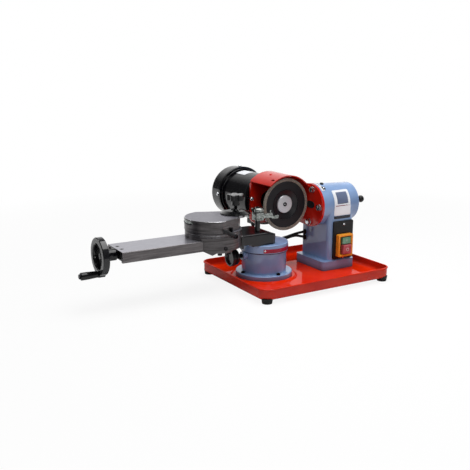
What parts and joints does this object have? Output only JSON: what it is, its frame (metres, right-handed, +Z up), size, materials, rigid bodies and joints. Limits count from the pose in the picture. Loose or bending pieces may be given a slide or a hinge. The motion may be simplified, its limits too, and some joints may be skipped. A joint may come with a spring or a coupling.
{
  "type": "circular saw blade sharpener",
  "caption": "Bench sharpener for circular saw blades: a swivelling rail and crank-driven carriage hold the blade against a tilting, hooded grinding wheel above a drip tray.",
  "frame": {"origin": "on the tray's underside, in the middle of the tray's length, on the centre line of rail, pot and column head", "axes": "+X from the hand wheel to the column, +Y from the switch side to the motor, +Z up"},
  "size_m": [0.7489, 0.42, 0.2465],
  "materials": {
    "red_enamel": "gloss",
    "blue_grey_enamel": "semi gloss",
    "black_paint": "gloss",
    "dark_casting": "satin",
    "ground_steel": "ground",
    "bright_steel": "bright",
    "black_screws": "blackened",
    "bronze": "machined",
    "black_plastic": "gloss",
    "orange_plastic": "semi gloss",
    "green_plastic": "milky",
    "red_plastic": "milky",
    "black_rubber": "matte",
    "wheel_resin": "matte",
    "abrasive": "grainy",
    "bare_aluminium": "satin",
    "red_scale": "gloss",
    "white_scale": "gloss"
  },
  "bodies": {
    "base": {"tray": "red_enamel", "rubber_feet": "black_rubber", "pot_base": "blue_grey_enamel", "pot_screws": "black_screws", "column": "blue_grey_enamel", "column_bolts": "bright_steel", "bevel_scale": "white_scale", "switch_plate": "black_plastic", "switch_frame": "orange_plastic", "switch_module": "black_plastic", "cable_grommets": "black_rubber"},
    "swivel": {"swivel_cap": "blue_grey_enamel", "pivot_bolt": "bright_steel", "hook_scale": "red_scale", "rail_arm": "black_paint", "rail": "ground_steel", "end_bearing": "black_paint", "rail_screws": "black_screws"},
    "lock": {"lock_screw": "black_screws", "lock_wheel": "black_paint"},
    "hand_wheel": {"lead_screw": "bright_steel", "hand_wheel": "black_paint", "crank_pin": "bright_steel"},
    "crank_grip": {"crank_grip": "black_plastic"},
    "carriage": {"saddle": "dark_casting", "keeper_plate": "dark_casting", "lead_nut": "bronze", "blade_table": "dark_casting", "carriage_screws": "black_screws", "blade_seat": "ground_steel", "clamp_stud": "bright_steel"},
    "clamp_saucer": {"clamp_saucer": "black_paint"},
    "clamp_knob": {"clamp_knob": "black_plastic"},
    "stop_post": {"stop_post": "black_paint"},
    "stop_block": {"stop_block": "bright_steel"},
    "stop_finger": {"stop_finger": "bright_steel"},
    "thumb_nut": {"thumb_nut": "bright_steel"},
    "quill": {"feed_sleeve": "ground_steel", "pull_knob": "black_plastic", "motor_lead_a": "black_rubber", "motor_lead_b": "black_rubber"},
    "head": {"trunnion": "ground_steel", "head_bracket": "red_enamel", "flange_bolts": "bright_steel", "wheel_guard": "red_enamel", "motor_shield": "black_paint", "motor_body": "black_paint", "rear_shield": "black_paint", "motor_bearings": "bright_steel", "fan_cowl": "black_paint", "head_screws": "bright_steel", "terminal_box": "black_paint"},
    "spindle": {"rotor_shaft": "bright_steel", "cooling_fan": "black_plastic", "arbor_hub": "bright_steel", "grinding_wheel": "wheel_resin", "abrasive_rim": "abrasive", "hub_disc": "bare_aluminium"},
    "start_button": {"start_button": "green_plastic"},
    "stop_button": {"stop_button": "red_plastic"}
  },
  "joints": [
    {"name": "hook_swivel", "type": "hinge", "parent": "base", "child": "swivel", "pos_m": [-0.077, 0, 0.08], "axis": [0, 0, 1], "range_deg": [-25, 25]},
    {"name": "lock_turn", "type": "hinge", "parent": "base", "child": "lock", "pos_m": [-0.14, 0, 0.0557], "axis": [1, 0, 0], "range_deg": [0, 360]},
    {"name": "hand_wheel_turn", "type": "hinge", "parent": "swivel", "child": "hand_wheel", "pos_m": [-0.46, 0, 0.1012], "axis": [1, 0, 0], "range_deg": [0, 10800]},
    {"name": "carriage_travel", "type": "slide", "parent": "swivel", "child": "carriage", "axis": [-1, 0, 0], "range_m": [0, 0.15]},
    {"name": "grip_spin", "type": "hinge", "parent": "hand_wheel", "child": "crank_grip", "pos_m": [-0.5, 0, 0.0642], "axis": [1, 0, 0], "continuous": true},
    {"name": "clamp_lift", "type": "slide", "parent": "carriage", "child": "clamp_saucer", "axis": [0, 0, 1], "range_m": [0, 0.008]},
    {"name": "clamp_turn", "type": "hinge", "parent": "clamp_saucer", "child": "clamp_knob", "pos_m": [-0.155, 0, 0.19], "axis": [0, 0, 1], "range_deg": [0, 1440]},
    {"name": "stop_height", "type": "slide", "parent": "swivel", "child": "stop_post", "axis": [0, 0, 1], "range_m": [0, 0.012]},
    {"name": "stop_swing", "type": "hinge", "parent": "stop_post", "child": "stop_block", "pos_m": [-0.109, -0.021, 0.15], "axis": [0, 0, 1], "range_deg": [-45, 10]},
    {"name": "finger_slide", "type": "slide", "parent": "stop_block", "child": "stop_finger", "axis": [1, 0, 0], "range_m": [-0.008, 0.008]},
    {"name": "thumb_nut_turn", "type": "hinge", "parent": "stop_block", "child": "thumb_nut", "pos_m": [-0.109, -0.021, 0.166], "axis": [0, 0, 1], "continuous": true},
    {"name": "head_feed", "type": "slide", "parent": "base", "child": "quill", "axis": [-1, 0, 0], "range_m": [0, 0.025]},
    {"name": "head_tilt", "type": "hinge", "parent": "quill", "child": "head", "pos_m": [0.06, 0, 0.1575], "axis": [1, 0, 0], "range_deg": [-15, 15], "deforming": ["motor_lead_a", "motor_lead_b"]},
    {"name": "spindle_spin", "type": "hinge", "parent": "head", "child": "spindle", "pos_m": [-0.012, 0.1, 0.1635], "axis": [0, 1, 0], "continuous": true},
    {"name": "start_press", "type": "slide", "parent": "base", "child": "start_button", "axis": [0, 1, 0], "range_m": [0, 0.003], "stiffness_N_per_m": 400},
    {"name": "stop_press", "type": "slide", "parent": "base", "child": "stop_button", "axis": [0, 1, 0], "range_m": [0, 0.003], "stiffness_N_per_m": 400}
  ],
  "couplings": [
    {"joint": "hand_wheel_turn", "follows": "carriage_travel", "rad_per_m": 1256.6},
    {"joint": "clamp_turn", "follows": "clamp_lift", "rad_per_m": 3141.6}
  ]
}
